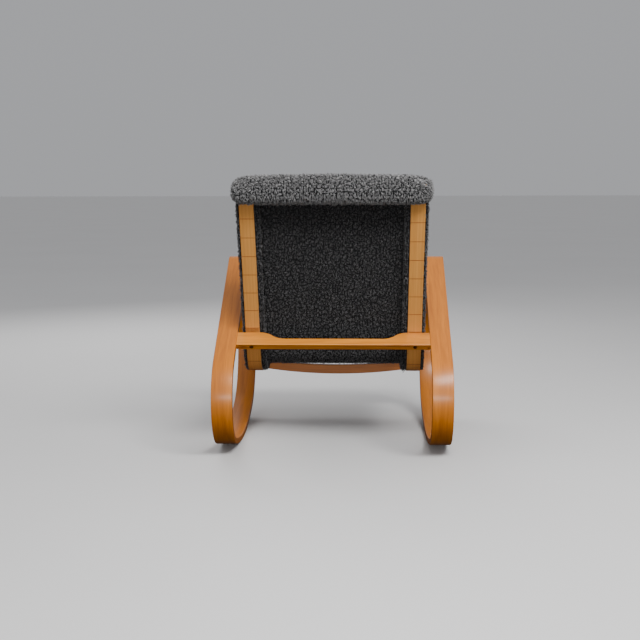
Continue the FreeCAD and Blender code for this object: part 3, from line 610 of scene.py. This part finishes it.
def fleece_backing():
    """The knitted ground under the pile: flat black wool with a knit of about 3 mm."""
    material, tree, output = finish_named("charcoal_wool_knit")
    place = add(tree, "ShaderNodeTexCoord")
    knit = add(tree, "ShaderNodeTexVoronoi", {"Vector": place.outputs["Object"], "Scale": 330.0})
    tint = add(tree, "ShaderNodeMix",
               {0: knit.outputs["Distance"], 6: colour("#2C2C2D"), 7: colour("#161617")}, data_type="RGBA")
    relief = add(tree, "ShaderNodeBump",
                 {"Height": knit.outputs["Distance"], "Strength": 0.8, "Distance": 0.001})
    skin = add(tree, "ShaderNodeBsdfPrincipled", {"Base Color": tint.outputs[2], "Roughness": 0.95,
                                                  "Normal": relief.outputs[0], "Specular IOR Level": 0.1})
    tree.links.new(skin.outputs[0], output.inputs["Surface"])
    return material


# One fleece in two copies that differ only by painted light: the darker copy, for the strips, beads and
# lining, is painted shade, and the lighter copy, for the headrest and cushion, is painted light.
curly_wool = fleece("charcoal_curly_wool_fleece", "#262627", "#605F60", "#8E8C8C")
lit_copy_wool = fleece("charcoal_curly_wool_lit_copy", "#2C2C2D", "#939292", "#CCCAC9")
wool_knit = fleece_backing()


def upholstered(piece, pile, replaced, wool=curly_wool):
    """Joins the pile to its cloth, and makes it the cover of the CAD nodes that it replaces."""
    piece.data.materials.clear()
    piece.data.materials.append(wool_knit)
    piece.data.polygons.foreach_set("material_index", np.zeros(len(piece.data.polygons), np.int32))
    pile.data.materials.append(wool)
    if not piece.data.uv_layers:
        piece.data.uv_layers.new(name="tone_and_height")
    piece.data.uv_layers[0].name = "tone_and_height"
    with bpy.context.temp_override(active_object=piece, selected_editable_objects=[piece, pile]):
        bpy.ops.object.join()
    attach(piece, "root")
    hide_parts(*replaced)


def slab(name, x_low, x_high, offset_low, offset_high, start, end):
    """Plain form along the seat line, between two offsets and two distances."""
    distance = np.linspace(start, end, max(int((end - start) / 0.01), 2))
    ring = np.array([(x_low, offset_low), (x_high, offset_low), (x_high, offset_high), (x_low, offset_high)])
    side, _ = seat_line(distance[:, None], ring[None, :, 1])
    return capped(surface(name, placed(ring[None, :, 0], side), False, True))


def in_the_slot(points):
    """True near the walls of the slot that takes the tops of the rails, which can't swell."""
    return (np.abs(points[:, 0]) < RAIL_OUTER_X + 2 * ROOM_GAP) & (points[:, 2] < SLOT_TOP)


roll = capped(headrest_form("headrest", -PILE - 0.002))
room = slab("rail_room", -RAIL_OUTER_X - ROOM_GAP, RAIL_OUTER_X + ROOM_GAP, -ROOM_GAP, RAIL_DEPTH + 0.005,
            -ROOM_GAP, ROOM_LENGTH)
without(roll, room)
stuffed(roll, voxel=0.0045, cap=0.006, pinned=in_the_slot)
roots, outwards = sown(roll, share=1.0, seed=11)
roll_pile = curly_pile("headrest_pile", roots, outwards, length=0.0110, thick=0.0012, droop=2.2, seed=12)
# The headrest takes the lighter copy of the fleece, which is painted light.
upholstered(roll, roll_pile, ["headrest_cover", "headrest_foam"], lit_copy_wool)


# The cushion. One long pad of foam in the same fleece, from under the headrest down the back, over the seat
# and round the front edge. It lies flat on the straps, and is crowned towards the sitter.

CUSHION_HALF_WIDTH = 0.267
CUSHION_BASE = 0.0346
CUSHION_THICKNESS = 0.052
CUSHION_TOP = 0.028
CUSHION_FOOT = frame_end - 0.012
FOOT_TAPER = 0.030
FOOT_FULLNESS = 0.35
FOOT_NARROWING = 0.03
SIDE_SQUARENESS = 0.28
CROWN_SQUARENESS = 0.5
CROWN = 0.06
SIDE_DRAWN_IN = 0.007
DRAWN_IN_BELOW = 0.012
CLEAR_OF_STRAPS = 0.004


def cushion_form(name):
    """D-shaped section carried down the seat line. At share s round the section, from one foot to the other,
    x = half width * cos(pi s)^0.28 and height = thickness * sin(pi s)^0.5, so the sides stand up, draw in at
    the foot and roll over into a crown; the last 30 mm at the foot thin out."""
    thinned = CUSHION_FOOT - FOOT_TAPER * (1 - np.sin(np.linspace(0, np.pi / 2, 8)[1:]))
    distance = np.concatenate([np.linspace(CUSHION_TOP, CUSHION_FOOT - FOOT_TAPER, 150), thinned])
    left = np.clip((CUSHION_FOOT - distance) / FOOT_TAPER, 0, 1)
    full = FOOT_FULLNESS + (1 - FOOT_FULLNESS) * np.sqrt(1 - (1 - left) ** 2)
    half = CUSHION_HALF_WIDTH - PILE - 0.004
    high = CUSHION_THICKNESS - PILE - 0.003
    s = np.linspace(0, np.pi, 61)
    x = np.sign(np.cos(s)) * np.abs(np.cos(s)) ** SIDE_SQUARENESS * half
    up = np.sin(s) ** CROWN_SQUARENESS * high
    drawn_in = half - SIDE_DRAWN_IN * (1 - up / DRAWN_IN_BELOW)
    x = np.where(up < DRAWN_IN_BELOW, np.sign(x) * drawn_in, x)
    crown = 1 + CROWN * (1 - (x / half) ** 2)
    offset = CUSHION_BASE + up[None] * crown[None] * full[:, None]
    side, _ = seat_line(distance[:, None], offset)
    wide = x[None] * (1 - FOOT_NARROWING * (1 - full[:, None]))
    return capped(surface(name, placed(wide, side), False, True))


def off_the_base(points):
    """True where a point stands clear of the straps: its offset from the seat line is over the base's."""
    down = np.linspace(0, frame_end, 900)
    line, normal = seat_line(down, CUSHION_BASE)
    place = np.stack([FLOOR_LINE_Y - points[:, 1], points[:, 2]], 1)
    out = np.empty(len(points))
    for part in np.array_split(np.arange(len(points)), 40):
        gap = place[part, None] - line[None]
        closest = np.argmin(np.sum(gap ** 2, axis=2), axis=1)
        out[part] = -np.sum(gap[np.arange(len(part)), closest] * normal[closest], axis=1)
    return out > CLEAR_OF_STRAPS


cushion = cushion_form("cushion")
without(cushion, capped(headrest_form("headrest_room", 0.004)))
stuffed(cushion, voxel=0.006, cap=0.008, pinned=lambda points: ~off_the_base(points))
open_side = off_the_base(vertices(cushion))
roots, outwards = sown(cushion, share=0.5, seed=23, keep=open_side)
cushion_pile = curly_pile("cushion_pile", roots, outwards, length=0.0105, thick=0.0017, droop=0.5, seed=24)
# The cushion takes the same lighter copy of the fleece, which is painted light.
upholstered(cushion, cushion_pile, ["cushion_cover", "cushion_foam"], lit_copy_wool)


# The fleece on the frame. A strip is wrapped over the outer side of each rail, a padded bead runs down its
# inner side, and a lining closes the back between the beads and goes on under the seat.

RAIL_INNER_X = 0.216
STRIP_SETBACK = 0.003
STRIP_THICKNESS = 0.0093
BEAD_SETBACK = 0.001
BEAD_WIDTH = 0.0165
BEAD_DEPTH = 0.019
PANEL_SETBACK = 0.022
LINING_TOP = 0.0563
LOCK_SLIMNESS = 0.14
STRIP_DROOP = 0.9


def fleece_strip(name, node, x_low, x_high, offset_low, offset_high, end, mirror, round_to, spacing,
                 length, seed, skipped):
    """A strip of fleece along the seat line: a rounded section carried down it, with its pile on every face
    but the one that skipped() marks, where it is glued down."""
    distance = np.arange(LINING_TOP, end, spacing)
    section, around = rounded_rectangle((x_low, offset_low), (x_high, offset_high), round_to, 3)
    count = max(int(around[-1] / spacing), 8)
    where = np.linspace(0, around[-1], count, endpoint=False)
    closed = np.vstack([section, section[:1]])
    ring = np.stack([np.interp(where, around, closed[:, 0]), np.interp(where, around, closed[:, 1])], 1)
    side, _ = seat_line(distance[:, None], ring[None, :, 1])
    piece = capped(surface(name, placed(ring[None, :, 0] * mirror, side), False, True))
    keep = ~skipped(np.tile(ring, (len(distance), 1)))
    roots, outwards = sown(piece, 1.0, seed, keep)
    pile = curly_pile(name + "_pile", roots, outwards, length, length * LOCK_SLIMNESS, STRIP_DROOP, seed + 1)
    upholstered(piece, pile, [node])


for mirror, hand in ((1, "left"), (-1, "right")):
    fleece_strip(f"{hand}_rail_fleece", f"{hand}_side_strip", RAIL_OUTER_X + 0.0003,
                 RAIL_OUTER_X + STRIP_THICKNESS - 0.0035, STRIP_SETBACK + 0.002, RAIL_DEPTH + 0.002,
                 frame_end - 0.012, mirror, round_to=0.0025, spacing=0.005, length=0.0090, seed=31 + mirror,
                 skipped=lambda ring: ring[:, 0] < RAIL_OUTER_X + 0.001)
    fleece_strip(f"{hand}_back_bead_fleece", f"{hand}_back_bead", RAIL_INNER_X - BEAD_WIDTH + 0.003,
                 RAIL_INNER_X - 0.0005, BEAD_SETBACK + 0.003, BEAD_SETBACK + BEAD_DEPTH - 0.001,
                 seat_end - 0.05, mirror, round_to=0.0055, spacing=0.005, length=0.0078, seed=41 + mirror,
                 skipped=lambda ring: ring[:, 0] > RAIL_INNER_X - 0.001)
fleece_strip("back_lining_fleece", "back_panel", -RAIL_INNER_X + BEAD_WIDTH + 0.001,
             RAIL_INNER_X - BEAD_WIDTH - 0.001, PANEL_SETBACK + 0.003, RAIL_DEPTH - 0.0005,
             seat_end - 0.018, 1, round_to=0.002, spacing=0.0048, length=0.0066, seed=53,
             skipped=lambda ring: ring[:, 1] > PANEL_SETBACK + 0.006)


# The studio: a pale floor, soft light from broad panels, and the camera where the photograph was taken from,
# at the height of the chair's top, about 3.3 m behind it and a little to the sitter's right. The key panel
# is high on that side, the low one throws light under the seat, and the front one lights the cushion.

def pale_floor():
    """Matt pale paint, a little cloudy over about a metre."""
    material, tree, output = finish_named("pale_painted_floor")
    place = add(tree, "ShaderNodeTexCoord")
    cloud = add(tree, "ShaderNodeTexNoise", {"Vector": place.outputs["Object"], "Scale": 1.2, "Detail": 2.0})
    tint = add(tree, "ShaderNodeMix",
               {0: cloud.outputs["Fac"], 6: colour("#E0DFDE"), 7: colour("#E6E5E4")}, data_type="RGBA")
    skin = add(tree, "ShaderNodeBsdfPrincipled", {"Base Color": tint.outputs[2], "Roughness": 0.9})
    tree.links.new(skin.outputs[0], output.inputs["Surface"])
    return material


FLOOR_REACH = 40.0
corners = FLOOR_REACH * np.array([[[-1, -1, 0], [-1, 1, 0]], [[1, -1, 0], [1, 1, 0]]])
floor = surface("studio_floor", corners, False, False)
floor.data.materials.append(pale_floor())
# It catches the chair's shadow, and throws no light back up on the chair.
floor.visible_diffuse = False
floor.visible_glossy = False


def studio_air():
    """Soft light from all round above the floor, a little brighter overhead than at the height of the eye,
    and nearly dark below the floor's edge, so that little light comes up from below."""
    world = bpy.data.worlds.new("studio")
    world.use_nodes = True
    tree = world.node_tree
    tree.nodes.clear()
    place = add(tree, "ShaderNodeTexCoord")
    parts = add(tree, "ShaderNodeSeparateXYZ", {0: place.outputs["Generated"]})
    height = add(tree, "ShaderNodeMapRange", {"Value": parts.outputs[2], "From Min": -1.0, "From Max": 1.0})
    ramp = add(tree, "ShaderNodeValToRGB", {0: height.outputs[0]})
    ramp.color_ramp.elements[0].position = 0.47
    ramp.color_ramp.elements[0].color = colour("#2E2D2C")
    ramp.color_ramp.elements[1].position = 1.0
    ramp.color_ramp.elements[1].color = colour("#B4B5B8")
    level = ramp.color_ramp.elements.new(0.485)
    level.color = colour("#AAABAE")
    light = add(tree, "ShaderNodeBackground", {"Color": ramp.outputs[0], "Strength": 1.0})
    add(tree, "ShaderNodeOutputWorld", {"Surface": light.outputs[0]})
    return world


bpy.context.scene.world = studio_air()


def soft_light(name, place, target, wide, high, power, glossy=True):
    """Light panel at a place, turned to face its target."""
    lamp = bpy.data.lights.new(name, "AREA")
    lamp.shape, lamp.size, lamp.size_y, lamp.energy = "RECTANGLE", wide, high, power
    light = bpy.data.objects.new(name, lamp)
    light.location = place
    light.rotation_mode = "QUATERNION"
    light.rotation_quaternion = (Vector(target) - Vector(place)).to_track_quat("-Z", "Y")
    light.visible_glossy = glossy
    light.visible_camera = False
    bpy.context.scene.collection.objects.link(light)


soft_light("key_panel", (-0.95, 1.95, 2.35), (0, 0.2, 0.55), wide=2.0, high=0.8, power=88)
soft_light("front_panel", (1.3, -2.4, 1.9), (0, -0.1, 0.4), wide=1.6, high=1.0, power=34, glossy=False)
soft_light("low_panel", (-0.1, 3.2, 0.5), (0, 0.2, 0.35), wide=1.8, high=0.3, power=24)

SENSOR_WIDTH = 36.0
FOCAL_LENGTH_IN_PIXELS = 1100.0
FRAME_IN_PIXELS = 640.0
CAMERA_X = -0.079185
CAMERA_BEHIND_FLOOR_LINE = 3.32868
CAMERA_HEIGHT = 0.79992

camera_data = bpy.data.cameras.new("photo_camera")
camera_data.sensor_width = SENSOR_WIDTH
camera_data.lens = FOCAL_LENGTH_IN_PIXELS / FRAME_IN_PIXELS * SENSOR_WIDTH
camera = bpy.data.objects.new("photo_camera", camera_data)
pitch, yaw, roll_turn = 0.130742, -0.037202, -0.0027015
look = np.array([-np.sin(yaw) * np.cos(pitch), -np.cos(yaw) * np.cos(pitch), -np.sin(pitch)])
level = np.array([-np.cos(yaw), np.sin(yaw), 0.0])
above = np.cross(level, look)
right = np.cos(roll_turn) * level + np.sin(roll_turn) * above
upward = -np.sin(roll_turn) * level + np.cos(roll_turn) * above
turned = Matrix([[right[k], upward[k], -look[k]] for k in range(3)]).to_4x4()
turned.translation = (CAMERA_X, FLOOR_LINE_Y + CAMERA_BEHIND_FLOOR_LINE, CAMERA_HEIGHT)
camera.matrix_world = turned
bpy.context.scene.collection.objects.link(camera)
bpy.context.scene.camera = camera
